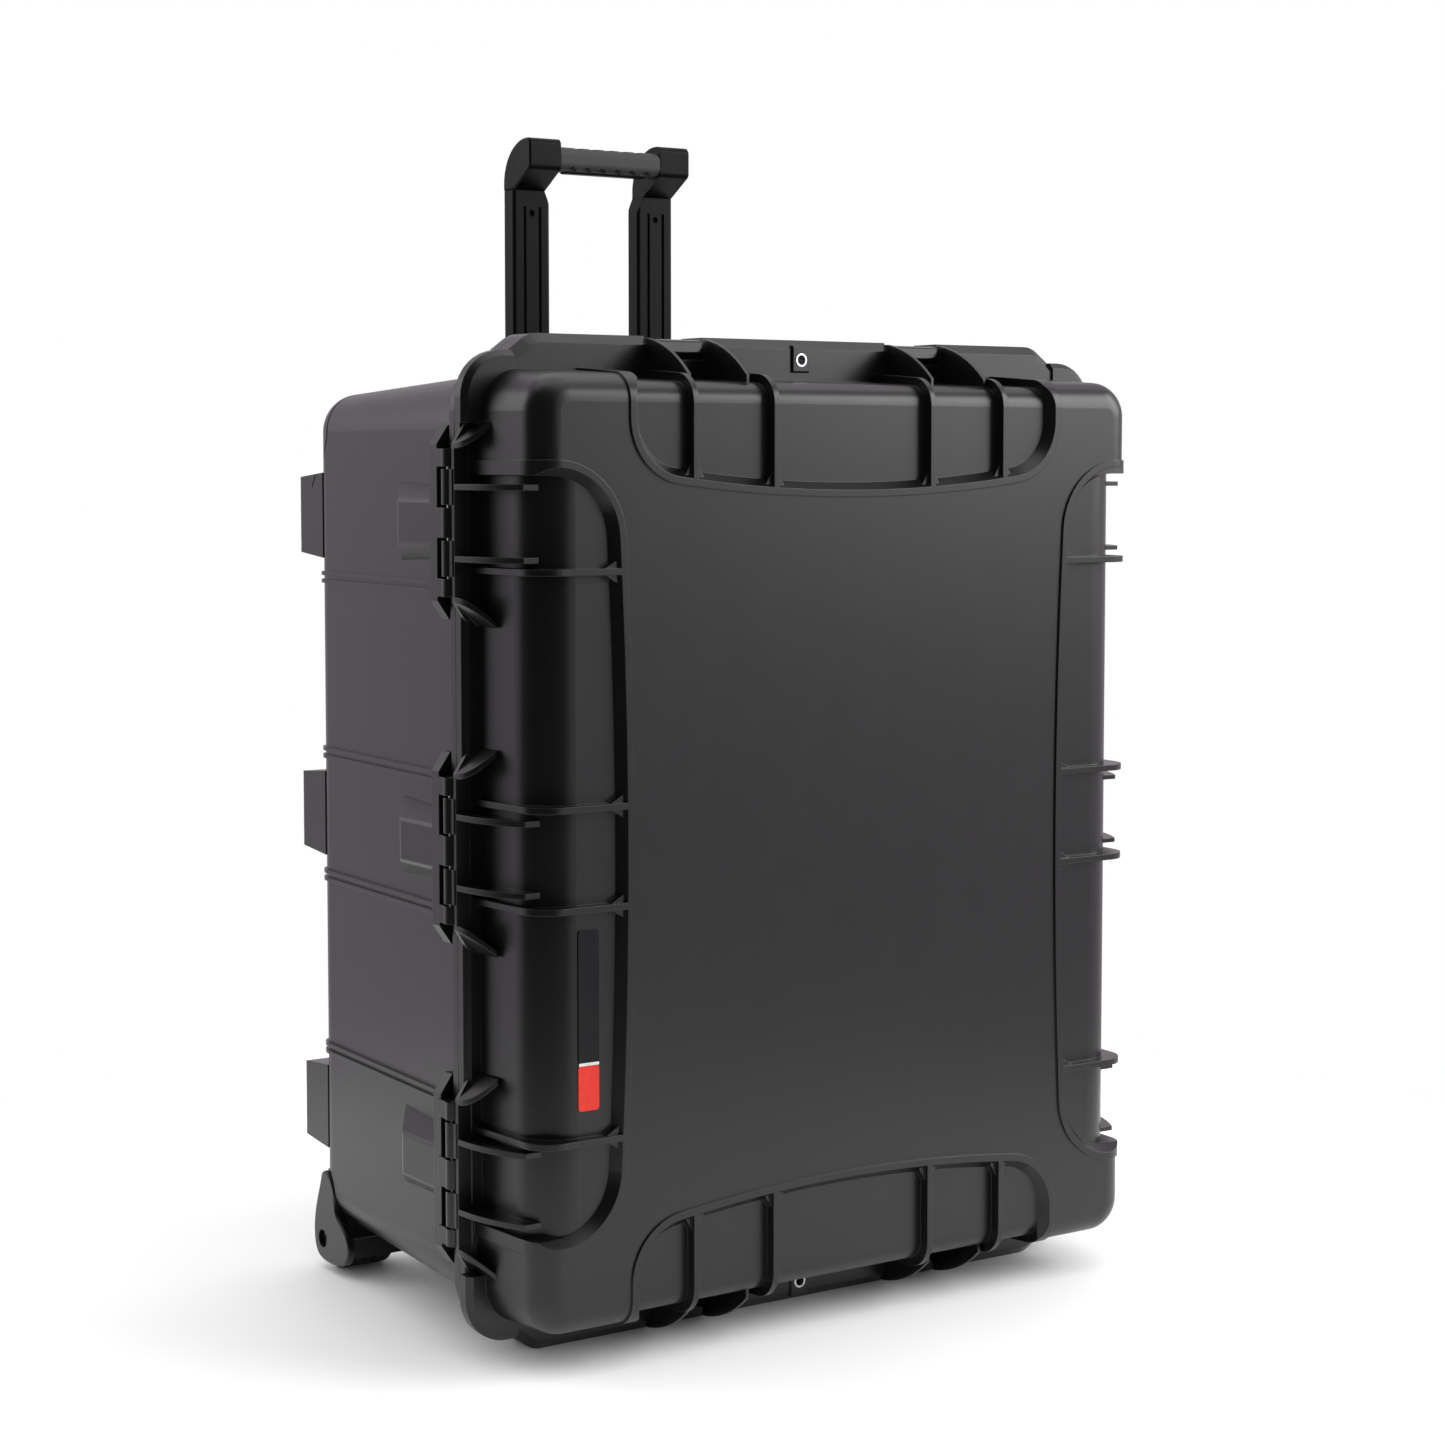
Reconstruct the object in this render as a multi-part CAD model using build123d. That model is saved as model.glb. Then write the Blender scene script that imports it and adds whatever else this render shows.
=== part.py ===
from build123d import *
from math import radians, tan
import os

# Large wheeled equipment case, standing on its short end with the trolley handle drawn out.
# Millimetres, +Z up. X runs from the hinge side (-X) to the latch side (+X).
# Y runs from the lid front (-Y) to the trolley side (+Y). The origin is under the middle.

# Driving dimensions
MID_Z = 436.0              # height of the case's middle, also half its height on its end bands
LID_FRONT = -230.0         # plane of the raised rims on the lid
PARTING = -118.0           # where lid and base meet
PARTING_GAP = 0.2          # half the gap between the two flanges
BASE_BACK = 195.0          # back wall of the base
REAR = 230.0               # plane of the rear feet and trolley housing
FLANGE_X, FLANGE_Z = 336.0, 416.0
FLANGE_CORNER = 46.0
FLANGE_BEVEL = 5.0
LIP_X, LIP_Z = 343.0, 421.0    # raised lip round the lid's corners, between the bands and the hinges
LIP_CORNER = 40.0
LIP_FRONT = -146.0
LIP_FROM_X, LIP_FROM_Z = 294.0, 360.0
LID_FLANGE_FRONT = -132.0
BASE_FLANGE_BACK = -109.0
BAND_HALF = 302.0          # raised end bands, half length along X at their feet
BAND_RAMP = 27.0           # length of the ramp at each end of a band
BAND_BEVEL = 8.0
BAND_SHOULDER = 26.0
BAND_RISE = MID_Z - FLANGE_Z
LID_BAND_FRONT = -144.0
BASE_BAND_BACK = -96.0

# Lid dome: rims, main panel and recess floor are three nested tapered blocks
RIM_X, RIM_Z = 329.0, 408.0
LID_ROOT = -131.0
LID_TAPER = 4.0
PANEL_DROP = 1.8
FLOOR_DROP = 10.0
FLOOR_SIDE_DROP = 7.5
LID_CORNER = 39.0
LID_SOFT = 26.0
WALL = 4.5
RIM_WIDTH = 6.0
RIB_WIDTH = 5.5
RIB_FOOT = 7.0
SIDE_ROLL = 38.0           # radius over which the side recesses roll into the side walls
SCOOP = 6.5                # how far the recess walls lean in over the recess depth

# Recesses of the lid: half length, inner edge at the middle and at the ends, corner radius
SIDE_RECESS = (323.0, 235.5, 246.0, 60.0)
END_RECESS = (226.0, 303.0, 321.5, 50.0)
RECESSES = {"left": SIDE_RECESS, "right": SIDE_RECESS, "top": END_RECESS, "bottom": END_RECESS}
RIBS = {"left": (41.9, 237.0), "right": (41.9, 237.0), "top": (84.7, 167.2), "bottom": (84.7, 167.2)}
RECESS_REACH = 800.0       # how far past the lid's edge a recess outline runs
NEAR_BACK = -170.0         # back of the deeper hollow under the main panel
SEAL_INSET = 9.0

# Base tub
TUB_X, TUB_Z = 329.0, 404.0
TUB_TAPER = 2.8
TUB_CORNER = 49.0
TUB_SOFT = 28.0
TUB_WALL = 5.0
BEAD_HEIGHTS = (57.5, 220.8)
BEAD_PITCH = 7.0
BEAD_WIDTH = 3.4
BEAD_PROUD = 2.6
FOOT_HEIGHTS = (-278.0, 0.0, 278.0)
GUARD_LINE = ((165.0, 880.0), (165.0, 786.0), (175.0, 768.0), (189.0, 758.0), (200.0, 740.0))
GUARD_GROOVE = 1.8
GUARD_DEPTH = 1.2
GUARD_IN = 272.0
FOOT_X, FOOT_Y = 279.0, 178.0
FOOT_ROOT, FOOT_END = (70.0, 79.0), (64.0, 70.0)
FOOT_SOFT = 5.0

# Hinges on the -X side
HINGE_HEIGHTS = (-276.5, 0.0, 276.5)
HINGE_OUT = 5.0
KNUCKLE_R = 7.0
HINGE_PIN_R = 2.5
RUNNING = 0.05
POCKET_DEPTH = 31.0
POCKET_MID = 74.0
LID_KNUCKLE = (15.0, 45.0)
BASE_KNUCKLES = ((-62.0, -47.0), (-12.6, 12.6), (47.0, 62.0))

# Latches: (side, place along that side)
LATCHES = (("right", -277.0), ("right", 0.0), ("right", 277.0),
           ("top", -130.0), ("top", 130.0), ("bottom", -130.0), ("bottom", 130.0))
LATCH_WIDTH = 46.0
LATCH_PIVOT = (5.0, -60.0)
LATCH_BARREL = 5.5
LATCH_PIN_R = 2.0
LATCH_TOP = 12.0
END_LATCH_TOP = 17.5
FIN_AT = 30.0
BAY_FIN, SIDE_FIN, HINGE_FIN = 3.2, 4.0, 5.0
EAR_WIDTH = 5.0
EAR_AT = 29.0

# Carry handles: (side, place along that side)
HANDLES = (("top", 0.0), ("bottom", 0.0), ("right", -138.5), ("right", 138.5))
HANDLE_PIVOT = (-3.0, -82.0)
HANDLE_HALF = 62.0
HANDLE_REACH = -26.0
HANDLE_PIN_R = 2.5

# Trolley
LEG_IN, LEG_OUT = 51.0, 92.0
LEG_FRONT, LEG_BACK = 207.0, 227.0
LEG_FOOT = 330.0
LEG_TOP = 1028.0
HEAD_IN = 57.0
HEAD_FRONT = 175.0
HEAD_TOP = 1076.0
GRIP_LOW, GRIP_TOP = 1046.0, 1069.0
SLEEVE_LOW, SLEEVE_TOP = 104.0, 804.0
SLIDE_GAP = 0.5

# Wheels
WHEEL_R = 30.0
WHEEL_IN, WHEEL_OUT = 254.0, 304.0
HUB_R = 21.0
BEARING_R = 9.0
BEARING_WIDTH = 10.0
AXLE_R = 5.0
AXLE_HEAD_R = 7.5
AXLE_HOLE_R = 8.5
AXLE_Y = 187.0
PLATE_IN, PLATE_OUT = 309.5, 316.5
CHEEK_IN, CHEEK_OUT = 243.0, 248.0
WEB_Y = 138.0
WELL_FRONT, WELL_TOP = 130.0, 100.0
ROOF_LOW, ROOF_TOP = 91.0, 97.0
SCREW_Z = 84.0
CUT_IN = 305.0
TYRE_GROOVES = (264.0, 274.0, 284.0, 294.0)

# Seam between the base's cut-away lower corner and the wheel bracket, and the bracket's outline
SEAM = ((180.0, 99.0), (169.5, 92.5), (162.0, 78.0), (159.2, 62.0), (147.5, 51.0), (127.0, 44.0))
PLATE_OUTLINE = ((189.5, 91.0), (199.0, 66.0), (205.5, 34.0), (199.0, 15.0), (181.0, 9.0),
                 (158.0, 10.0), (140.0, 16.0), (133.5, 27.0), (137.0, 40.0), (148.5, 49.8),
                 (160.4, 61.0), (163.2, 78.0), (171.2, 91.0), (180.5, 96.0))

VALVE_SEAT = 320.2
VALVE_R = 17.0
VALVE_NECK = 9.0
VALVE_Y = 40.0

EYELET_R = 6.0
EYELET_BORE = 4.3
EYELET_Z = 418.0
PAD_HALF = 9.5

SIDE_SIGNS = {"left": -1, "right": 1}


def side_location(side, along):
    """Frame on a side of the case: x outwards from the flange edge, y deep, z along the side."""
    frames = {
        "right": ((FLANGE_X, 0, MID_Z + along), (1, 0, 0), (0, 0, 1)),
        "left": ((-FLANGE_X, 0, MID_Z + along), (-1, 0, 0), (0, 0, -1)),
        "top": ((along, 0, MID_Z + FLANGE_Z), (0, 0, 1), (-1, 0, 0)),
        "bottom": ((along, 0, MID_Z - FLANGE_Z), (0, 0, -1), (1, 0, 0)),
    }
    origin, x_dir, z_dir = frames[side]
    return Plane(origin=origin, x_dir=x_dir, z_dir=z_dir).location


def put(piece, side, along):
    return side_location(side, along) * piece


def profile(points, width, z_mid=0.0):
    """Closed outline in the outwards-deep plane, given its width along the side."""
    face = Polygon(*points, align=None)
    return Pos(0, 0, z_mid) * extrude(face, width / 2, both=True)


def box(x0, x1, y0, y1, z0, z1):
    size = (x1 - x0, y1 - y0, z1 - z0)
    return Pos((x0 + x1) / 2, (y0 + y1) / 2, (z0 + z1) / 2) * Box(*size)


def rod(radius, x0, x1, y, z):
    return Pos((x0 + x1) / 2, y, z) * Rot(0, 90, 0) * Cylinder(radius, x1 - x0)


def rounded_block(half_x, half_z, y_front, y_back, corner, taper=0.0):
    """Block across the depth with rounded corners, tapering forwards."""
    plane = Plane(origin=(0, y_back, MID_Z), x_dir=(1, 0, 0), z_dir=(0, -1, 0))
    plan = plane * RectangleRounded(2 * half_x, 2 * half_z, corner)
    return extrude(plan, y_back - y_front, taper=taper)


def tub_block(grow, y_front, y_back, soft):
    """Tapered block of the base, larger than the tub's outside by grow."""
    plane = Plane(origin=(0, y_front, MID_Z), x_dir=(-1, 0, 0), z_dir=(0, 1, 0))
    plan = RectangleRounded(2 * (TUB_X + grow), 2 * (TUB_Z + grow), TUB_CORNER + grow)
    block = extrude(plane * plan, y_back - y_front, taper=TUB_TAPER)
    return fillet(block.faces().sort_by(Axis.Y)[-1].edges(), soft)


# ---- Lid ----

def recess_plan(side, recess, grow, y):
    """Outline of one recess of the lid, grown by a margin, in the plane at a given depth."""
    half, inner_mid, inner_end, radius = recess
    far = half + RECESS_REACH
    half, mid, end = half + grow, inner_mid - grow, inner_end - grow
    edges = [Line((-half, far), (-half, end)), ThreePointArc((-half, end), (0, mid), (half, end)),
             Line((half, end), (half, far)), Line((half, far), (-half, far))]
    face = make_face(edges)
    inner = face.vertices().group_by(Axis.Y)[0]
    face = fillet(inner, radius + grow)
    along = {"right": (0, 0, 1), "left": (0, 0, -1), "top": (-1, 0, 0), "bottom": (1, 0, 0)}
    return Plane(origin=(0, y, MID_Z), x_dir=along[side], z_dir=(0, 1, 0)) * face


def recess_prism(side, recess, grow):
    """One recess with upright walls, run through the lid's depth."""
    return extrude(recess_plan(side, recess, grow, LID_FRONT - 5), PARTING - LID_FRONT)


def recess_scoop(side, recess):
    """One recess whose walls lean in down to its floor, then run straight back."""
    slope = SCOOP / FLOOR_DROP
    mouth = recess_plan(side, recess, slope, LID_FRONT - 1)
    foot = recess_plan(side, recess, -SCOOP, LID_FRONT + FLOOR_DROP)
    return loft([mouth, foot], ruled=True) + extrude(foot, PARTING - LID_FRONT - FLOOR_DROP)


def rib_prisms(side, recess, places):
    """Strips across a recess of the lid, from its inner edge outwards."""
    half, inner_mid, inner_end, _ = recess
    ribs = []
    for place in [s * p for p in places for s in (-1, 1)]:
        start = inner_mid + (inner_end - inner_mid) * (place / half) ** 2 - RIM_WIDTH / 2
        shift = (FLANGE_X if side in SIDE_SIGNS else FLANGE_Z)
        rib = box(start - shift, 0, LID_FRONT - 5, LID_FLANGE_FRONT + 2, -RIB_WIDTH / 2, RIB_WIDTH / 2)
        ribs.append(put(rib, side, place))
    return ribs


def lid_recesses(grow):
    return [recess_prism(side, recess, grow) for side, recess in RECESSES.items()]


def lid_block(drop, side_drop):
    """One of the lid's nested blocks, set back from the rims, with a soft front edge."""
    block = rounded_block(RIM_X - side_drop, RIM_Z - side_drop, LID_FRONT + drop, LID_ROOT,
                          LID_CORNER - side_drop, LID_TAPER)
    return fillet(block.faces().sort_by(Axis.Y)[0].edges(), LID_SOFT - side_drop)


def rolled_prism(half, along, drop, side_drop, soft):
    """Prism along one direction whose two front edges are rolled over with a radius."""
    lean = (LID_ROOT - LID_FRONT - drop) * tan(radians(LID_TAPER))
    root, front = half - side_drop, half - side_drop - lean
    outline = Polygon((-root, LID_ROOT), (-front, LID_FRONT + drop), (front, LID_FRONT + drop),
                      (root, LID_ROOT), align=None)
    outline = fillet(outline.vertices().filter_by(lambda v: v.Y < LID_ROOT - 1), soft)
    across_x = Plane(origin=(0, 0, MID_Z), x_dir=(1, 0, 0), z_dir=(0, 0, 1))
    across_z = Plane(origin=(0, 0, MID_Z), x_dir=(0, 0, 1), z_dir=(-1, 0, 0))
    plane = across_x if along == "z" else across_z
    return extrude(plane * outline, LIP_Z, both=True)


def floor_block(drop, side_drop):
    """Block under the recesses, rolled over more at the long sides than at the ends."""
    block = rounded_block(RIM_X - side_drop, RIM_Z - side_drop, LID_FRONT + drop, LID_ROOT,
                          LID_CORNER - side_drop, LID_TAPER)
    inset = side_drop - FLOOR_SIDE_DROP
    block = block & rolled_prism(RIM_X, "z", drop, side_drop, SIDE_ROLL - inset)
    return block & rolled_prism(RIM_Z, "x", drop, side_drop, LID_SOFT - side_drop)


def rib_feet(side, recess, places):
    """Wedges where the ribs meet the inner edge of a recess."""
    half, inner_mid, inner_end, _ = recess
    shift = (FLANGE_X if side in SIDE_SIGNS else FLANGE_Z)
    plane = Plane(origin=(0, LID_FRONT - 5, 0), x_dir=(1, 0, 0), z_dir=(0, 1, 0))
    feet = []
    for place in [s * p for p in places for s in (-1, 1)]:
        edge = inner_mid + (inner_end - inner_mid) * (place / half) ** 2 - shift
        wide, thin = RIB_WIDTH / 2 + RIB_FOOT, RIB_WIDTH / 2
        outline = Polygon((edge - 2, -wide), (edge + 2, -wide), (edge + 14, -thin), (edge + 14, thin),
                          (edge + 2, wide), (edge - 2, wide), align=None)
        feet.append(put(extrude(plane * outline, 30, dir=(0, 1, 0)), side, place))
    return feet


def lid_dome():
    rims = lid_block(0, 0)
    panel = lid_block(PANEL_DROP, PANEL_DROP)
    low = lid_block(2 * PANEL_DROP, 2 * PANEL_DROP)
    floor = floor_block(FLOOR_DROP, FLOOR_SIDE_DROP)
    holes = [recess_scoop(side, recess) for side, recess in RECESSES.items()]
    dome = panel - holes + floor
    raised = [grown - hole for grown, hole in zip(lid_recesses(RIM_WIDTH), holes)]
    for side, places in RIBS.items():
        raised += rib_prisms(side, RECESSES[side], places)
        for foot in rib_feet(side, RECESSES[side], places):
            dome = dome + (foot & low)
    for strip in raised:
        dome = dome + (strip & rims)
    return dome


def lid_cavity():
    """Hollow of the lid: deep under the main panel, shallower under the recesses."""
    side_drop = FLOOR_SIDE_DROP + WALL
    deep = floor_block(FLOOR_DROP + WALL, side_drop)
    mouth = rounded_block(RIM_X - side_drop, RIM_Z - side_drop, LID_ROOT, PARTING, LID_CORNER - side_drop)
    near = lid_block(PANEL_DROP + WALL, PANEL_DROP + WALL)
    near = near & box(-FLANGE_X, FLANGE_X, LID_FRONT, NEAR_BACK, 0, 2 * MID_Z)
    return deep + mouth + (near - lid_recesses(RIM_WIDTH + WALL))


def flange(y0, y1):
    return rounded_block(FLANGE_X, FLANGE_Z, y0, y1, FLANGE_CORNER)


def end_bands(y_bevel, y_plain):
    """Raised bands on the top and bottom ends, ramped at their ends and bevelled on one edge."""
    top_half = BAND_HALF - BAND_RAMP
    plane = Plane(origin=(0, y_plain, 0), x_dir=(1, 0, 0), z_dir=(0, 1, 0))
    outline = Polygon((-18, -BAND_HALF), (0, -BAND_HALF), (BAND_RISE, -top_half), (BAND_RISE, top_half),
                      (0, BAND_HALF), (-18, BAND_HALF), align=None)
    shoulders = outline.vertices().filter_by(lambda v: v.X > 1)
    band = extrude(plane * fillet(shoulders, BAND_SHOULDER), y_bevel - y_plain, dir=(0, 1, 0))
    rim = band.edges().filter_by(lambda e: abs(e.center().Y - y_bevel) < 0.1 and e.center().X > 1)
    band = chamfer(rim, BAND_BEVEL)
    return [put(band, side, 0) for side in ("top", "bottom")]


def latch_bays(y0, y1):
    """Gaps in the end bands where the latches lie."""
    half = FIN_AT
    gap = box(0, BAND_RISE + 5, y0, y1, -half, half)
    return [put(gap, side, along) for side, along in LATCHES if side != "right"]


def fin(top_out, top_y, foot_out, foot_y, width):
    """Thin gusset with a convex front, from the flange down to the dome."""
    bulge = ((top_out + foot_out) / 2 + 4, (top_y + foot_y) / 2 - 4)
    edges = [ThreePointArc((top_out, top_y), bulge, (foot_out, foot_y)),
             Line((foot_out, foot_y), (-30, foot_y)), Line((-30, foot_y), (-30, LID_FLANGE_FRONT + 2)),
             Line((-30, LID_FLANGE_FRONT + 2), (top_out, LID_FLANGE_FRONT + 2)),
             Line((top_out, LID_FLANGE_FRONT + 2), (top_out, top_y))]
    return extrude(make_face(edges), width / 2, both=True)


def pocket_wall(sign):
    """Slanted end wall of the pocket in front of a hinge, from its plate down to the dome."""
    plane = Plane(origin=(0, LID_ROOT, 0), x_dir=(1, 0, 0), z_dir=(0, -1, 0))
    trace_points = [(8, 62), (8, 67), (-14, 87), (-14, 82)]
    face = Polygon(*[(out, sign * along) for out, along in trace_points], align=None)
    wall = extrude(plane * face, POCKET_DEPTH, dir=(0, -1, 0))
    return wall & Pos(0, 0, sign * POCKET_MID) * fin(8, -134, -13, LID_ROOT - POCKET_DEPTH, POCKET_MID)


def corner_lips():
    """Raised lip round each corner of the lid's flange."""
    lip = rounded_block(LIP_X, LIP_Z, LIP_FRONT, LID_ROOT, LIP_CORNER)
    lip = chamfer(lip.faces().sort_by(Axis.Y)[0].edges(), FLANGE_BEVEL)
    corners = []
    for x_sign in (-1, 1):
        x0, x1 = sorted((x_sign * LIP_FROM_X, x_sign * (LIP_X + 1)))
        for z_sign in (-1, 1):
            z0, z1 = sorted((MID_Z + z_sign * LIP_FROM_Z, MID_Z + z_sign * (LIP_Z + 1)))
            corners.append(lip & box(x0, x1, LIP_FRONT, LID_ROOT, z0, z1))
    return corners


def lid_fins():
    fins = []
    side_fin = fin(11, -133, -14, -208, SIDE_FIN)
    bay_fin = fin(18, -144, -14, -208, BAY_FIN)
    hinge_fin = fin(8, -134, -14, -208, HINGE_FIN)
    for side, along in LATCHES:
        shape = side_fin if side == "right" else bay_fin
        fins += [put(shape, side, along + s * FIN_AT) for s in (-1, 1)]
    for height in HINGE_HEIGHTS:
        for s in (-1, 1):
            fins.append(put(hinge_fin, "left", height + s * FIN_AT))
            fins.append(put(pocket_wall(s), "left", height))
    return fins


def hinge_plate(y0, y1, out):
    """Long plate with chamfered tips that carries the knuckles of one hinge."""
    plane = Plane(origin=(0, y1, 0), x_dir=(1, 0, 0), z_dir=(0, -1, 0))
    outline = Polygon((-18, -82), (-2, -82), (out, -66), (out, 66), (-2, 82), (-18, 82), align=None)
    return extrude(plane * outline, y1 - y0, dir=(0, -1, 0))


def barrel(radius, z0, z1):
    return Pos(HINGE_OUT, PARTING, (z0 + z1) / 2) * Cylinder(radius, z1 - z0)


def lid_hinge(height):
    knuckles = hinge_plate(-131.5, -126.6, 8)
    low, high = LID_KNUCKLE
    for z0, z1 in ((low, high), (-high, -low)):
        knuckles = knuckles + barrel(KNUCKLE_R, z0, z1)
        knuckles = knuckles + box(-2, 9, -129, PARTING, z0, z1)
    return put(knuckles, "left", height)


def hinge_reliefs(spans, height):
    return [put(barrel(KNUCKLE_R + 1, z0 - 1.4, z1 + 1.4), "left", height) for z0, z1 in spans]


def hinge_bore(height, radius):
    return put(barrel(radius, -70, 70), "left", height)


def eyelet_holes(y0, y1):
    holes = []
    for sign in (-1, 1):
        spot = Pos(0, (y0 + y1) / 2, MID_Z + sign * EYELET_Z)
        holes.append(spot * Rot(90, 0, 0) * Cylinder(EYELET_R, y1 - y0))
    return holes


def eyelet_pads():
    pads = []
    for side in ("top", "bottom"):
        pad = box(-9, BAND_RISE - 5, LID_BAND_FRONT - 2.4, LID_BAND_FRONT + 6, -PAD_HALF, PAD_HALF)
        pads.append(put(chamfer(pad.faces().sort_by(Axis.Y)[0].edges(), 1.2), side, 0))
    return pads


def seal_ring(y0, y1, width):
    rings = []
    for s in (1, -1):
        edge = s * width / 2 - SEAL_INSET
        rings.append(rounded_block(FLANGE_X + edge, FLANGE_Z + edge, y0, y1, FLANGE_CORNER + edge))
    return rings[0] - rings[1]


def lid_shell():
    back = PARTING - PARTING_GAP
    ring = flange(LID_FLANGE_FRONT, back)
    lid = lid_dome() + chamfer(ring.faces().sort_by(Axis.Y)[0].edges(), FLANGE_BEVEL)
    lid = lid + end_bands(LID_BAND_FRONT, back) + corner_lips()
    lid = lid - latch_bays(LID_BAND_FRONT - 5, PARTING)
    lid = lid + lid_fins() + eyelet_pads()
    for height in HINGE_HEIGHTS:
        lid = lid - hinge_reliefs(BASE_KNUCKLES, height) + lid_hinge(height)
        lid = lid - hinge_bore(height, HINGE_PIN_R + RUNNING)
    lid = lid - lid_cavity() - seal_ring(back - 3.4, back + 1, 6.2)
    return lid - eyelet_holes(LID_BAND_FRONT - 5, PARTING)


def eyelets(y0, y1):
    rings = []
    for hole in eyelet_holes(y0, y1):
        centre = hole.center()
        spot = Pos(centre.X, centre.Y, centre.Z)
        rings.append(hole - spot * Rot(90, 0, 0) * Cylinder(EYELET_BORE, y1 - y0 + 2))
    return Compound(children=rings)


def label(z0, z1, thick):
    floor = LID_FRONT + FLOOR_DROP
    plane = Plane(origin=(-269, floor, MID_Z + (z0 + z1) / 2), x_dir=(1, 0, 0), z_dir=(0, -1, 0))
    return extrude(plane * RectangleRounded(20, z1 - z0, 3), thick)


# ---- Base ----

def bead_ribs():
    """Pairs of thin beads along both side walls of the tub, round the rear corner."""
    proud = tub_block(BEAD_PROUD, PARTING, BASE_BACK + BEAD_PROUD, TUB_SOFT + BEAD_PROUD)
    strips = []
    for height in [s * h for h in BEAD_HEIGHTS for s in (-1, 1)]:
        for offset in (-BEAD_PITCH / 2, BEAD_PITCH / 2):
            z = MID_Z + height + offset
            for x0, x1 in ((-345, -255), (255, 345)):
                strip = box(x0, x1, BASE_FLANGE_BACK - 2, 215, z - BEAD_WIDTH / 2, z + BEAD_WIDTH / 2)
                strips.append(strip & proud)
    return strips


def frustum(low, high, y_low, y_high, x_mid, x_shift, z):
    """Block with sloping sides standing on the back wall: (x, z) sizes at its root and its top."""
    root = Plane(origin=(x_mid, y_low, z), x_dir=(-1, 0, 0), z_dir=(0, 1, 0)) * Rectangle(*low)
    top_x = x_mid + x_shift
    top = Plane(origin=(top_x, y_high, z), x_dir=(-1, 0, 0), z_dir=(0, 1, 0)) * Rectangle(*high)
    block = loft([root.face(), top.face()])
    return fillet(block.faces().sort_by(Axis.Y)[-1].edges(), FOOT_SOFT)


def rear_feet():
    feet = []
    for height in FOOT_HEIGHTS:
        for sign in (-1, 1):
            feet.append(frustum(FOOT_ROOT, FOOT_END, FOOT_Y, REAR, sign * FOOT_X, sign * 2, MID_Z + height))
    return feet


def guard_grooves():
    """Shallow curved groove that marks off the corner guards at the top rear corners."""
    plane = Plane(origin=(0, 0, 0), x_dir=(0, 1, 0), z_dir=(1, 0, 0))
    band = extrude(plane * trace(Polyline(*GUARD_LINE), GUARD_GROOVE), FLANGE_X, both=True)
    band = band - box(-GUARD_IN, GUARD_IN, 0, REAR, MID_Z, 2 * MID_Z + BAND_RISE)
    return band - tub_block(-GUARD_DEPTH, PARTING, BASE_BACK - GUARD_DEPTH, TUB_SOFT - GUARD_DEPTH)


def buttress(height):
    """Chamfered block behind each hinge."""
    root = Plane(origin=(-18, -42, 0), x_dir=(0, 1, 0), z_dir=(1, 0, 0)) * Rectangle(106, 78)
    top = Plane(origin=(8, -62, 0), x_dir=(0, 1, 0), z_dir=(1, 0, 0)) * Rectangle(66, 37)
    block = loft([root.face(), top.face()])
    block = chamfer(block.faces().sort_by(Axis.X)[-1].edges(), 2)
    return put(block, "left", height)


def base_hinge(height):
    knuckles = hinge_plate(-103, -90, 9)
    for z0, z1 in BASE_KNUCKLES:
        knuckles = knuckles + barrel(KNUCKLE_R, z0, z1) + box(-2, 10.5, PARTING, -100, z0, z1)
    return put(knuckles, "left", height)


def latch_ears(side, along):
    """Two ribs that carry a latch's pin."""
    out, deep = LATCH_PIVOT
    points = [(-22, BASE_FLANGE_BACK - 2), (-1, BASE_FLANGE_BACK - 2), (2, deep - 18), (out + 6, deep - 7),
              (out + 6, deep + 6), (-16, deep + 26), (-22, deep + 26)]
    ear = profile(points, EAR_WIDTH)
    return [put(ear, side, along + s * EAR_AT) for s in (-1, 1)]


def handle_lugs(side, along):
    """Two lugs that carry a carry handle's pins."""
    out, deep = HANDLE_PIVOT
    points = [(-22, deep - 14), (out - 2, deep - 9), (out + 6, deep - 6), (out + 6, deep + 6),
              (out, deep + 14), (-22, deep + 22)]
    lug = profile(points, 8)
    lug = lug - Pos(out, deep, 0) * Cylinder(HANDLE_PIN_R, 12)
    return [put(lug, side, along + s * (HANDLE_HALF + 5)) for s in (-1, 1)]


def wheel_wells(margin):
    """Boxes in the lower rear corners, larger by a margin, that the wheels turn in."""
    wells = []
    for sign in (-1, 1):
        x0, x1 = sorted((sign * (CHEEK_IN - 1 - margin), sign * (PLATE_IN + margin)))
        wells.append(box(x0, x1, WELL_FRONT - margin, REAR + 10, -10, WELL_TOP + margin))
    return wells


def corner_cuts():
    """Curved cut-aways of the side walls at the wheels, where the brackets show."""
    plane = Plane(origin=(0, 0, 0), x_dir=(0, 1, 0), z_dir=(1, 0, 0))
    start, end = SEAM[0], SEAM[-1]
    edges = [Spline(*SEAM), Line(end, (end[0], -10)), Line((end[0], -10), (REAR + 10, -10)),
             Line((REAR + 10, -10), (REAR + 10, start[1])), Line((REAR + 10, start[1]), start)]
    cut = extrude(plane * make_face(edges), 2 * FLANGE_X, both=True)
    return cut - box(-CUT_IN, CUT_IN, 0, REAR + 20, -20, MID_Z)


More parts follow.
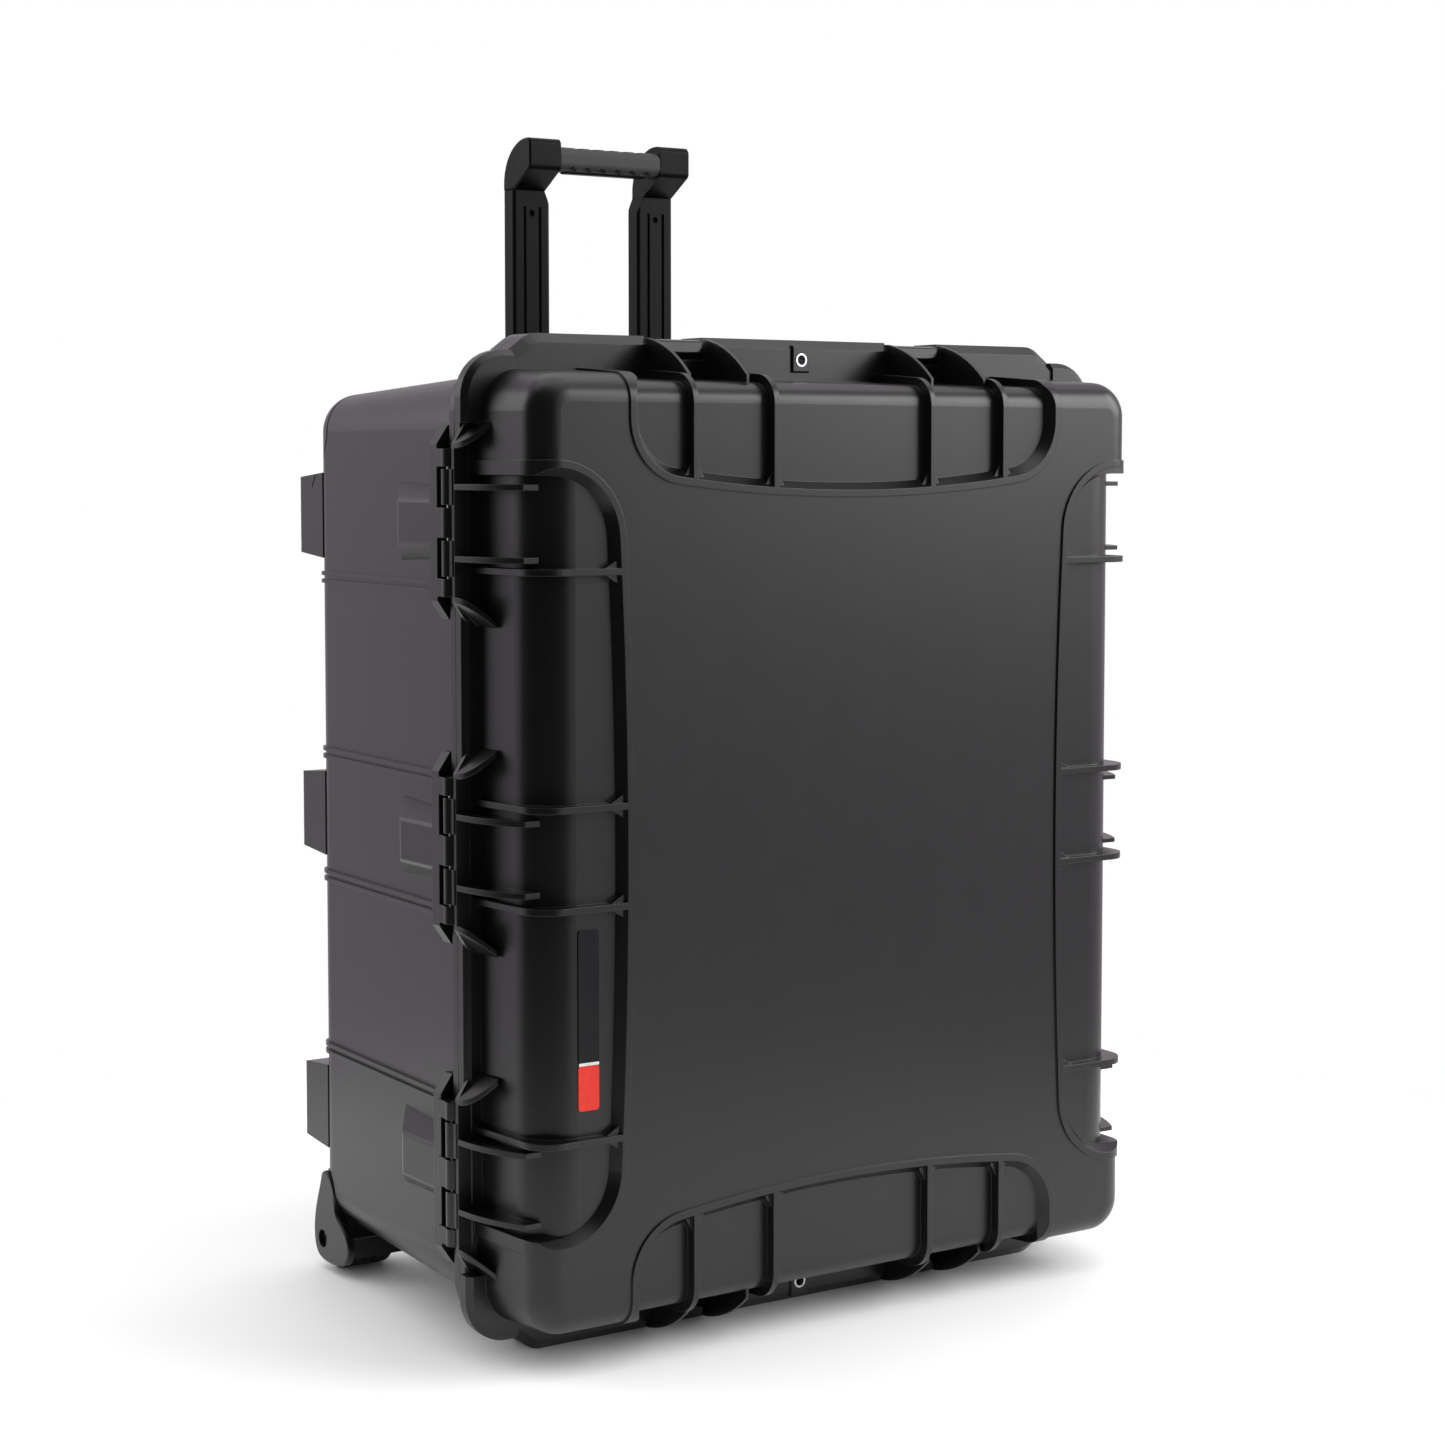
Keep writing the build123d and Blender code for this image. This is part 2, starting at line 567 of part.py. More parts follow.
def base_shell():
    front = PARTING + PARTING_GAP
    outside = tub_block(0, front, BASE_BACK, TUB_SOFT)
    base = outside + flange(front, BASE_FLANGE_BACK) + end_bands(BASE_BAND_BACK, front)
    base = base - latch_bays(PARTING, BASE_BAND_BACK + 5)
    base = base + bead_ribs() + rear_feet()
    for height in HINGE_HEIGHTS:
        base = base - hinge_reliefs([LID_KNUCKLE, (-LID_KNUCKLE[1], -LID_KNUCKLE[0])], height)
        base = base + buttress(height) + base_hinge(height)
        base = base - hinge_bore(height, HINGE_PIN_R)
    for side, along in LATCHES:
        pin = Pos(*LATCH_PIVOT, 0) * Cylinder(LATCH_PIN_R, 80)
        base = base + latch_ears(side, along) - put(pin, side, along)
    for side, along in HANDLES:
        base = base + handle_lugs(side, along)
    inside = tub_block(-TUB_WALL, front - 1, BASE_BACK - TUB_WALL, TUB_SOFT - TUB_WALL)
    base = base - (inside - wheel_wells(TUB_WALL)) - wheel_wells(0) - valve_hole()
    base = base - corner_cuts() - guard_grooves()
    return base - eyelet_holes(PARTING - 5, BASE_BAND_BACK + 5)


def pins(radius, half, spot, places):
    """One pin across each place, as separate solids."""
    rods = []
    for side, along in places:
        rods.append(put(Pos(*spot, 0) * Cylinder(radius, 2 * half), side, along))
    return Compound(children=rods)


def latch(nose_top):
    """Latch lever with its claw: barrel at the back, rounded nose at the front."""
    out, deep = LATCH_PIVOT
    points = [(out - 3.6, deep - 4), (1.0, deep - 20), (1.0, -134), (1.6, -146), (6, -149),
              (nose_top - 1.5, -147), (nose_top, -141), (nose_top, -136), (LATCH_TOP, -128),
              (LATCH_TOP, deep - 12), (out + 4, deep - 1)]
    body = profile(points, LATCH_WIDTH)
    nose = body.edges().filter_by(Axis.Z).filter_by(lambda e: e.center().Y < -140)
    body = fillet(nose, 2.2)
    body = body + Pos(out, deep, 0) * Cylinder(LATCH_BARREL, LATCH_WIDTH)
    body = body - Pos(out, deep, 0) * Cylinder(LATCH_PIN_R + RUNNING, LATCH_WIDTH + 2)
    body = body - box(7, 14, -125, -97, -9, 9)
    return body - box(10.6, 14, deep - 36, deep - 14, -17, 17)


def lock_slider():
    """Sprung lock in the latch's face, with finger ribs."""
    slider = box(7.4, 11.4, -124.5, -104, -8.5, 8.5)
    for step in range(4):
        y = -120 + 4 * step
        slider = slider - box(10.7, 12, y, y + 1.6, -7, 7)
    return slider


def carry_handle():
    """Fold-down handle frame: two arms on pins and a grip between them."""
    out, deep = HANDLE_PIVOT
    half = HANDLE_HALF
    arm = box(out - 4, out + 4.5, deep, HANDLE_REACH, -5, 5)
    arm = arm + Pos(out, deep, 0) * Cylinder(4.5, 10)
    arm = arm - Pos(out, deep, 0) * Cylinder(HANDLE_PIN_R + RUNNING, 12)
    bar = box(out - 4, out + 4.5, HANDLE_REACH - 16, HANDLE_REACH, -half, half)
    frame = bar + [Pos(0, 0, s * (half - 5)) * arm for s in (-1, 1)]
    corners = frame.edges().filter_by(Axis.X).filter_by(lambda e: e.center().Y > HANDLE_REACH - 1)
    return fillet(corners, 8)


def handle_grip():
    """Soft sleeve moulded round the handle's bar."""
    out = HANDLE_PIVOT[0]
    sleeve = box(out - 5.8, out + 6.3, HANDLE_REACH - 18, HANDLE_REACH + 2, -46, 46)
    sleeve = fillet(sleeve.edges().filter_by(Axis.Z), 4)
    sleeve = sleeve - box(out - 4, out + 4.5, HANDLE_REACH - 16, HANDLE_REACH, -50, 50)
    for step in range(-4, 5):
        z = 9 * step
        sleeve = sleeve - box(out + 5.5, out + 8, HANDLE_REACH - 20, HANDLE_REACH + 4, z - 1, z + 1)
    return sleeve


def handle_pins(side, along):
    """Stub pins between the lugs and the handle's arms."""
    stub = Pos(*HANDLE_PIVOT, 0) * Cylinder(HANDLE_PIN_R, 18)
    return [put(stub, side, along + s * HANDLE_HALF) for s in (-1, 1)]


def valve_body():
    """Pressure valve: a disc in its seat with a neck through the wall."""
    disc = rod(VALVE_R, VALVE_SEAT, VALVE_SEAT + 5, VALVE_Y, MID_Z)
    disc = chamfer(disc.faces().sort_by(Axis.X)[-1].edges(), 1.2)
    return disc + rod(VALVE_NECK, VALVE_SEAT - 9, VALVE_SEAT, VALVE_Y, MID_Z)


def valve_cap():
    out = VALVE_SEAT + 10
    cap = rod(VALVE_R - 5, out - 5, out, VALVE_Y, MID_Z)
    for turn in range(0, 180, 30):
        cap = cap - Pos(out, VALVE_Y, MID_Z) * Rot(turn, 0, 0) * Box(2.4, 1.6, 30)
    return cap


def valve_hole():
    seat = rod(VALVE_R, VALVE_SEAT, VALVE_SEAT + 12, VALVE_Y, MID_Z)
    return seat + rod(VALVE_NECK, VALVE_SEAT - 12, VALVE_SEAT, VALVE_Y, MID_Z)


# ---- Trolley ----

def mirrored(piece, sign):
    return piece if sign > 0 else mirror(piece, about=Plane.YZ)


def leg(sign):
    """Extruded leg with two grooves down its front face."""
    tube = box(LEG_IN, LEG_OUT, LEG_FRONT, LEG_BACK, LEG_FOOT, LEG_TOP)
    tube = fillet(tube.edges().filter_by(Axis.Z), 3)
    for x in (LEG_IN + 10, LEG_OUT - 14):
        tube = tube - box(x, x + 4, LEG_FRONT - 1, LEG_FRONT + 2, LEG_FOOT + 40, LEG_TOP - 16)
    tube = tube - box(LEG_IN + 3, LEG_OUT - 3, LEG_FRONT + 3.4, LEG_BACK - 3, LEG_FOOT - 1, LEG_TOP - 30)
    dimple = Pos((LEG_IN + LEG_OUT) / 2, LEG_FRONT, LEG_TOP - 22) * Sphere(3)
    corner = Polygon((LEG_IN - 1, LEG_TOP - 17), (HEAD_IN, LEG_TOP), (HEAD_IN, LEG_TOP + 1),
                     (LEG_IN - 1, LEG_TOP + 1), align=None)
    plane = Plane(origin=(0, LEG_BACK + 5, 0), x_dir=(1, 0, 0), z_dir=(0, -1, 0))
    tube = tube - dimple - extrude(plane * corner, 40, dir=(0, -1, 0))
    return mirrored(tube, sign)


def end_block(sign):
    """Block that carries the grip forward from the top of a leg."""
    outline = [(LEG_FRONT, LEG_TOP), (HEAD_FRONT, 1047), (HEAD_FRONT, HEAD_TOP), (LEG_BACK, HEAD_TOP),
               (LEG_BACK, LEG_TOP)]
    face = Polygon(*outline, align=None)
    corners = face.vertices().sort_by(Axis.Y)
    high_back = corners.filter_by(lambda v: v.X > LEG_BACK - 1).sort_by(Axis.Y)[-1]
    face = fillet(high_back, 42)
    front = face.vertices().filter_by(lambda v: v.X < HEAD_FRONT + 1)
    face = fillet(front, 6)
    plane = Plane(origin=(HEAD_IN, 0, 0), x_dir=(0, 1, 0), z_dir=(1, 0, 0))
    block = extrude(plane * face, LEG_OUT - HEAD_IN, dir=(1, 0, 0))
    outer = block.faces().sort_by(Axis.X)[-1].edges()
    return mirrored(chamfer(outer, 1.5), sign)


def grip_core():
    """Bar between the end blocks, slotted underneath for the release bar."""
    core = box(-HEAD_IN, HEAD_IN, HEAD_FRONT + 5, HEAD_FRONT + 25, GRIP_LOW + 5, GRIP_TOP - 4)
    return core - box(-47, 47, HEAD_FRONT + 9, HEAD_FRONT + 21, GRIP_LOW + 4, GRIP_LOW + 10)


def grip_overmould():
    """Soft grip: rounded section, five finger dimples on top and a scalloped underside."""
    plane = Plane(origin=(-HEAD_IN + 0.2, HEAD_FRONT + 15, (GRIP_LOW + GRIP_TOP) / 2),
                  x_dir=(0, 1, 0), z_dir=(1, 0, 0))
    grip = extrude(plane * RectangleRounded(30, GRIP_TOP - GRIP_LOW, 8), 2 * HEAD_IN - 0.4)
    for step in range(-2, 3):
        grip = grip - Pos(step * 17, HEAD_FRONT + 6, GRIP_TOP + 2.5) * Sphere(6)
    for step in range(-3, 3):
        cut = Pos((step + 0.5) * 17, HEAD_FRONT + 1, GRIP_LOW - 2.5)
        grip = grip - cut * Rot(90, 0, 0) * Cylinder(6.5, 12)
    grip = grip - box(-HEAD_IN, HEAD_IN, HEAD_FRONT + 5, HEAD_FRONT + 25, GRIP_LOW + 5, GRIP_TOP - 4)
    return grip - box(-48, 48, HEAD_FRONT + 8.5, HEAD_FRONT + 21.5, GRIP_LOW - 2, GRIP_LOW + 6)


def release_bar():
    """Squeeze bar under the grip that frees the legs."""
    bar = box(-46, 46, HEAD_FRONT + 9.5, HEAD_FRONT + 20.5, GRIP_LOW - 2, GRIP_LOW + 5)
    return fillet(bar.faces().sort_by(Axis.Z)[0].edges(), 1.5)


def sleeve(sign):
    """Fixed tube on the back wall that a leg slides in."""
    tube = box(LEG_IN - 5, LEG_OUT + 5, BASE_BACK, REAR, SLEEVE_LOW, SLEEVE_TOP)
    tube = fillet(tube.edges().filter_by(Axis.Z).filter_by(lambda e: e.center().Y > REAR - 1), 4)
    gap = SLIDE_GAP
    bore = box(LEG_IN - gap, LEG_OUT + gap, LEG_FRONT - gap, LEG_BACK + gap, SLEEVE_LOW + 3, SLEEVE_TOP + 1)
    return mirrored(tube - bore, sign)


def housing_panel():
    """Panel between the sleeves, with lightening ribs, that ties them to the back wall."""
    panel = box(-(LEG_IN - 5), LEG_IN - 5, BASE_BACK, BASE_BACK + 5, SLEEVE_LOW + 10, SLEEVE_TOP - 10)
    for step in range(6):
        z = SLEEVE_LOW + 60 + 110 * step
        panel = panel + box(-(LEG_IN - 5), LEG_IN - 5, BASE_BACK + 5, BASE_BACK + 17, z - 3, z + 3)
    return panel


# ---- Wheels ----

def tyre(sign):
    ring = rod(WHEEL_R, WHEEL_IN, WHEEL_OUT, AXLE_Y, WHEEL_R)
    ring = fillet(ring.edges(), 5)
    for x in TYRE_GROOVES:
        groove = rod(WHEEL_R + 1, x - 1, x + 1, AXLE_Y, WHEEL_R)
        ring = ring - (groove - rod(WHEEL_R - 1.5, x - 1, x + 1, AXLE_Y, WHEEL_R))
    return mirrored(ring - rod(HUB_R, WHEEL_IN - 1, WHEEL_OUT + 1, AXLE_Y, WHEEL_R), sign)


def hub(sign):
    core = rod(HUB_R, WHEEL_IN + 2, WHEEL_OUT - 2, AXLE_Y, WHEEL_R)
    for x0, x1 in ((WHEEL_IN, WHEEL_IN + 8), (WHEEL_OUT - 8, WHEEL_OUT)):
        core = core - (rod(HUB_R - 4, x0, x1, AXLE_Y, WHEEL_R) - rod(13, x0, x1, AXLE_Y, WHEEL_R))
    return mirrored(core - rod(BEARING_R, WHEEL_IN, WHEEL_OUT, AXLE_Y, WHEEL_R), sign)


def bearings(sign):
    rings = []
    for x0 in (WHEEL_IN + 2, WHEEL_OUT - 2 - BEARING_WIDTH):
        ring = rod(BEARING_R, x0, x0 + BEARING_WIDTH, AXLE_Y, WHEEL_R)
        ring = ring - rod(AXLE_R + RUNNING, x0, x0 + BEARING_WIDTH, AXLE_Y, WHEEL_R)
        rings.append(mirrored(ring, sign))
    return Compound(children=rings)


def axle(sign):
    """Axle with a head that sits deep in the bracket plate's hole."""
    shaft = rod(AXLE_R, CHEEK_IN, PLATE_IN, AXLE_Y, WHEEL_R)
    head = rod(AXLE_HEAD_R, PLATE_IN, PLATE_IN + 3, AXLE_Y, WHEEL_R)
    head = chamfer(head.faces().sort_by(Axis.X)[-1].edges(), 1)
    socket = Pos(PLATE_IN + 3, AXLE_Y, WHEEL_R) * Rot(0, 90, 0) * extrude(RegularPolygon(3, 6), 2, both=True)
    return mirrored(shaft + head - socket, sign)


def cheek_outline():
    """Outline of the inner cheek: round the axle, up to the roof and forward to the web."""
    eye = Pos(AXLE_Y, WHEEL_R) * Circle(16)
    root = Pos(AXLE_Y - 14, (ROOF_LOW + ROOF_TOP) / 2) * Rectangle(56, ROOF_TOP - ROOF_LOW)
    front = Pos(WEB_Y + 8, 36) * Circle(8)
    return make_hull(eye.edges() + root.edges() + front.edges())


def across(face, x0, x1):
    """Plate between two X planes with its outline given in the depth-height plane."""
    plane = Plane(origin=(x0, 0, 0), x_dir=(0, 1, 0), z_dir=(1, 0, 0))
    return extrude(plane * face, x1 - x0, dir=(1, 0, 0))


def wheel_bracket(sign):
    """Curved outer plate, inner cheek, roof and front web that hold one wheel's axle."""
    outer = across(make_face(Spline(*PLATE_OUTLINE, periodic=True)), PLATE_IN, PLATE_OUT)
    outer = fillet(outer.faces().sort_by(Axis.X)[-1].edges(), 2)
    outer = outer + rod(12, WHEEL_OUT + 2, PLATE_IN, AXLE_Y, WHEEL_R)
    outer = outer - rod(AXLE_HOLE_R, PLATE_IN, PLATE_OUT + 1, AXLE_Y, WHEEL_R)
    inner = across(cheek_outline(), CHEEK_IN, CHEEK_OUT)
    spacer = rod(12, CHEEK_OUT, WHEEL_IN - 1, AXLE_Y, WHEEL_R)
    roof = box(CHEEK_IN, PLATE_IN, 150, 188, ROOF_LOW, ROOF_TOP - 1)
    web = box(CHEEK_IN, PLATE_OUT - 2, WEB_Y, WEB_Y + 5, 20, 38)
    bracket = outer + inner + spacer + roof + web
    return mirrored(bracket - rod(AXLE_R, CHEEK_IN - 1, PLATE_OUT, AXLE_Y, WHEEL_R), sign)


def screws(spots, radius):
    """Dome-headed screws standing on a face that looks along X: (sign, x, y, z)."""
    heads = []
    for sign, x, y, z in spots:
        head = rod(radius, x, x + 2.2, y, z)
        head = chamfer(head.faces().sort_by(Axis.X)[-1].edges(), 0.9)
        heads.append(mirrored(head - Pos(x + 2.2, y, z) * Box(2, 1.2, radius), sign))
    return Compound(children=heads)


def bracket_screws():
    places = [(sign, dy) for sign in (-1, 1) for dy in (-34, -14, 6)]
    spots = [(sign, CHEEK_OUT, AXLE_Y + dy, SCREW_Z) for sign, dy in places]
    return screws(spots, 4.0)


def numbered(places):
    """Name, side and place along it for each of a list of places, numbered per side."""
    counts = {}
    for side, along in places:
        counts[side] = counts.get(side, 0) + 1
        yield f"{side}_{counts[side]}", side, along


def build():
    nodes = {
        "lid_shell": lid_shell(),
        "base_shell": base_shell(),
        "lid_gasket": seal_ring(PARTING - 3.4, PARTING - 0.35, 5.8),
        "lid_eyelets": eyelets(LID_BAND_FRONT - 3, PARTING - PARTING_GAP),
        "base_eyelets": eyelets(PARTING + PARTING_GAP, BASE_BAND_BACK + 0.6),
        "label_plate": label(-172, -60, 1.0),
        "label_badge": label(-212, -173.5, 1.0),
        "hinge_pins": pins(HINGE_PIN_R, 62, (HINGE_OUT, PARTING), [("left", h) for h in HINGE_HEIGHTS]),
        "latch_pins": pins(LATCH_PIN_R, EAR_AT + EAR_WIDTH / 2, LATCH_PIVOT, LATCHES),
        "valve_body": valve_body(),
        "valve_cap": valve_cap(),
        "grip_core": grip_core(),
        "grip_overmould": grip_overmould(),
        "release_bar": release_bar(),
        "housing_panel": housing_panel(),
        "bracket_screws": bracket_screws(),
    }
    for name, side, along in numbered(LATCHES):
        nose_top = LATCH_TOP if side == "right" else END_LATCH_TOP
        nodes[f"latch_{name}"] = put(latch(nose_top), side, along)
        nodes[f"latch_lock_{name}"] = put(lock_slider(), side, along)
    stubs = []
    for name, side, along in numbered(HANDLES):
        nodes[f"carry_handle_{name}"] = put(carry_handle(), side, along)
        nodes[f"handle_grip_{name}"] = put(handle_grip(), side, along)
        stubs += handle_pins(side, along)
    nodes["handle_pins"] = Compound(children=stubs)
    for side, sign in SIDE_SIGNS.items():
        nodes[f"trolley_leg_{side}"] = leg(sign)
        nodes[f"trolley_end_block_{side}"] = end_block(sign)
        nodes[f"trolley_sleeve_{side}"] = sleeve(sign)
        nodes[f"tyre_{side}"] = tyre(sign)
        nodes[f"wheel_hub_{side}"] = hub(sign)
        nodes[f"wheel_bearings_{side}"] = bearings(sign)
        nodes[f"axle_{side}"] = axle(sign)
        nodes[f"wheel_bracket_{side}"] = wheel_bracket(sign)
    return nodes


os.makedirs("parts", exist_ok=True)
for node_name, shape in build().items():
    export_step(shape, f"parts/{node_name}.step")
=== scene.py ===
import math

import bmesh
import bpy
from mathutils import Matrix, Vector

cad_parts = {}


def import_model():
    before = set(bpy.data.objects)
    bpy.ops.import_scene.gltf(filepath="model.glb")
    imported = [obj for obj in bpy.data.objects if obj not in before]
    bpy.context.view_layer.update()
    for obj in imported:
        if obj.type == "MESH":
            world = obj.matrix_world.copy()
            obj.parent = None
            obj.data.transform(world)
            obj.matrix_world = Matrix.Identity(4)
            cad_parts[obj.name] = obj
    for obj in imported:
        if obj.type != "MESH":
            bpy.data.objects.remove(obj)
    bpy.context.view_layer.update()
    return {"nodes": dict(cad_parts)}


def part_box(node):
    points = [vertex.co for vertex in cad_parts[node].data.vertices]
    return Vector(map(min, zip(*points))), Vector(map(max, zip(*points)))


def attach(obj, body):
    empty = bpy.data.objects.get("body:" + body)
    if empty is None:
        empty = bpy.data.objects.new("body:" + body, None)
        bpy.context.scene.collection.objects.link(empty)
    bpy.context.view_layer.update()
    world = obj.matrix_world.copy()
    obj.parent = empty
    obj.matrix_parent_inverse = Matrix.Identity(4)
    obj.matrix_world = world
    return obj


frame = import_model()

MM = 0.001

# Studio: DARK_FROM and DARK_TO are cosines of the angle away from DARK_SIDE
DARK_SIDE = (-0.799, -0.602, 0.0)
ROOM_LIGHT, ROOM_DARK = 0.68, 0.02
DARK_FROM, DARK_TO = 0.22, 0.58
FLOOR_LIGHT = 1.05
FLOOR_RADIUS, FLOOR_SIDES = 1.1, 96
FLOOR_TONES = (0.93, 0.96)
LIGHT_TARGET = (0, 0, 0.45)
AREA_LIGHTS = (                # name, place in metres, size in metres, watts
    ("back_left", (-2.6, 2.6, 2.0), (2.2, 2.0), 20),
    ("front_right", (3.2, -2.4, 2.2), (3.4, 2.8), 150),
    ("overhead", (0.2, 0.2, 3.6), (3.6, 3.6), 36),
)

CAMERA_PLACE = (-1.486, -2.227, 0.763)
CAMERA_DOWN, CAMERA_TURN = 3.79, -33.96     # degrees
CAMERA_LENS, CAMERA_SENSOR = 71.0, 36.0
CAMERA_SHIFT_Y = -0.0494

EDGE_FROM, EDGE_TO = 0.995, 0.8     # dot of hard and softened normals, from flat face to sharp edge
GREY_TINT = (1.0, 0.985, 1.02)
LINE_INSET = 0.3 * MM               # pale label line: gap to the label's sides
LINE_OVERLAP = 0.6 * MM             # how far it covers the plates above and below
LINE_CROWN = 0.45 * MM
LINE_STEPS = 8


# ---- Node helpers ----

class Shader:
    """One material's node tree, with short calls for the nodes that repeat."""

    def __init__(self, name):
        self.material = bpy.data.materials.new(name)
        self.material.use_nodes = True
        self.nodes = self.material.node_tree.nodes
        self.links = self.material.node_tree.links
        self.bsdf = self.nodes["Principled BSDF"]
        self.place = self.add("ShaderNodeTexCoord").outputs["Object"]

    def add(self, kind, **settings):
        node = self.nodes.new(kind)
        for key, value in settings.items():
            setattr(node, key, value)
        return node

    def put(self, value, socket):
        if isinstance(value, bpy.types.NodeSocket):
            self.links.new(value, socket)
        else:
            socket.default_value = value

    def noise(self, scale, detail=3.0, rough=0.55, place=None):
        node = self.add("ShaderNodeTexNoise")
        self.links.new(place or self.place, node.inputs["Vector"])
        node.inputs["Scale"].default_value = scale
        node.inputs["Detail"].default_value = detail
        node.inputs["Roughness"].default_value = rough
        return node.outputs["Fac"]

    def stretch(self, x, y, z):
        node = self.add("ShaderNodeMapping")
        self.links.new(self.place, node.inputs["Vector"])
        node.inputs["Scale"].default_value = (x, y, z)
        return node.outputs["Vector"]

    def remap(self, value, low, high, to_low, to_high, smooth=False):
        kind = "SMOOTHSTEP" if smooth else "LINEAR"
        node = self.add("ShaderNodeMapRange", interpolation_type=kind)
        for key, item in (("Value", value), ("From Min", low), ("From Max", high),
                          ("To Min", to_low), ("To Max", to_high)):
            self.put(item, node.inputs[key])
        return node.outputs["Result"]

    def math(self, operation, a, b=0.0):
        node = self.add("ShaderNodeMath", operation=operation)
        self.put(a, node.inputs[0])
        self.put(b, node.inputs[1])
        return node.outputs[0]

    def mix(self, factor, a, b):
        node = self.add("ShaderNodeMix", data_type="RGBA")
        self.put(factor, node.inputs["Factor"])
        self.put(a, node.inputs[6])
        self.put(b, node.inputs[7])
        return node.outputs[2]

    def soft_edges(self, radius):
        node = self.add("ShaderNodeBevel", samples=6)
        node.inputs["Radius"].default_value = radius
        return node.outputs["Normal"]

    def edge_mask(self, soft_normal):
        """1 on convex and concave edges, 0 on flat faces."""
        hard = self.add("ShaderNodeNewGeometry").outputs["Normal"]
        dot = self.add("ShaderNodeVectorMath", operation="DOT_PRODUCT")
        self.links.new(soft_normal, dot.inputs[0])
        self.links.new(hard, dot.inputs[1])
        return self.remap(dot.outputs["Value"], EDGE_FROM, EDGE_TO, 0.0, 1.0)

    def bump(self, height, distance, strength, normal=None):
        node = self.add("ShaderNodeBump")
        self.links.new(height, node.inputs["Height"])
        node.inputs["Distance"].default_value = distance
        node.inputs["Strength"].default_value = strength
        if normal is not None:
            self.links.new(normal, node.inputs["Normal"])
        return node.outputs["Normal"]

    def finish(self, colour, roughness, normal, metallic=0.0, specular=0.5):
        self.put(colour, self.bsdf.inputs["Base Color"])
        self.put(roughness, self.bsdf.inputs["Roughness"])
        self.links.new(normal, self.bsdf.inputs["Normal"])
        self.bsdf.inputs["Metallic"].default_value = metallic
        self.bsdf.inputs["Specular IOR Level"].default_value = specular
        return self.material


def grey(value):
    return (*[value * tint for tint in GREY_TINT], 1.0)


# ---- Materials ----

def textured_plastic(name, base, rough, grain=1500):
    """Spark-eroded moulded plastic: fine grain, faint clouding, paler rubbed edges."""
    s = Shader(name)
    soft = s.soft_edges(0.9 * MM)
    edge = s.edge_mask(soft)
    cloud = s.noise(7, 4)
    streak = s.noise(60, 5, 0.65, s.stretch(1.0, 1.0, 0.35))
    rub = s.math("MULTIPLY", edge, s.remap(s.noise(28, 5), 0.38, 0.62, 0.25, 1.0))
    shade = s.mix(s.remap(cloud, 0.3, 0.7, 0.0, 1.0), grey(base * 0.9), grey(base * 1.12))
    colour = s.mix(s.math("MULTIPLY", rub, 0.5), shade, grey(base * 2.1))
    roughness = s.remap(streak, 0.3, 0.7, rough - 0.015, rough + 0.02)
    grains = s.noise(grain, 2, 0.6)
    normal = s.bump(grains, 0.12 * MM, 0.35, soft)
    return s.finish(colour, roughness, normal, specular=0.5)


def smooth_plastic(name, base, rough, specular=0.3):
    """Polished moulding with faint flow marks and fine handling scratches."""
    s = Shader(name)
    soft = s.soft_edges(0.8 * MM)
    edge = s.edge_mask(soft)
    scratch = s.noise(900, 4, 0.7, s.stretch(1.0, 0.05, 0.6))
    marks = s.remap(scratch, 0.58, 0.72, 0.0, 1.0)
    colour = s.mix(s.math("MULTIPLY", edge, 0.45), grey(base), grey(base * 2.6))
    roughness = s.math("ADD", s.remap(s.noise(18, 4), 0.3, 0.7, rough - 0.03, rough + 0.06),
                       s.math("MULTIPLY", marks, 0.08))
    normal = s.bump(s.noise(140, 3), 0.03 * MM, 0.3, soft)
    return s.finish(colour, roughness, normal, specular=specular)


def rubber(name, base, rough, pitch):
    """Soft overmoulding: fine dotted texture and dusty roughness."""
    s = Shader(name)
    soft = s.soft_edges(0.8 * MM)
    dots = s.add("ShaderNodeTexVoronoi")
    s.links.new(s.place, dots.inputs["Vector"])
    dots.inputs["Scale"].default_value = pitch
    dust = s.noise(45, 5, 0.65)
    colour = s.mix(s.remap(dust, 0.35, 0.7, 0.0, 1.0), grey(base), grey(base * 1.3))
    roughness = s.remap(dust, 0.3, 0.7, rough - 0.05, rough + 0.06)
    normal = s.bump(dots.outputs["Distance"], 0.15 * MM, 0.3, soft)
    return s.finish(colour, roughness, normal, specular=0.3)


def metal(name, base, rough, stretch):
    """Drawn or brushed metal: fine lines along one way, duller where handled."""
    s = Shader(name)
    soft = s.soft_edges(0.4 * MM)
    lines = s.noise(700, 4, 0.7, s.stretch(*stretch))
    smear = s.noise(25, 4)
    colour = s.mix(s.remap(smear, 0.3, 0.7, 0.0, 1.0), grey(base * 0.86), grey(base))
    roughness = s.remap(lines, 0.3, 0.7, rough - 0.06, rough + 0.1)
    normal = s.bump(lines, 0.02 * MM, 0.4, soft)
    return s.finish(colour, roughness, normal, metallic=1.0)


def anodised(name, base, rough):
    """Black anodised extrusion: drawn lines along its length, worn slightly at the corners."""
    s = Shader(name)
    soft = s.soft_edges(0.7 * MM)
    edge = s.edge_mask(soft)
    lines = s.noise(500, 4, 0.7, s.stretch(1.0, 1.0, 0.02))
    colour = s.mix(s.math("MULTIPLY", edge, 0.6), grey(base), grey(base * 3.0))
    roughness = s.remap(lines, 0.3, 0.7, rough - 0.05, rough + 0.08)
    normal = s.bump(lines, 0.03 * MM, 0.4, soft)
    return s.finish(colour, roughness, normal, specular=0.08)


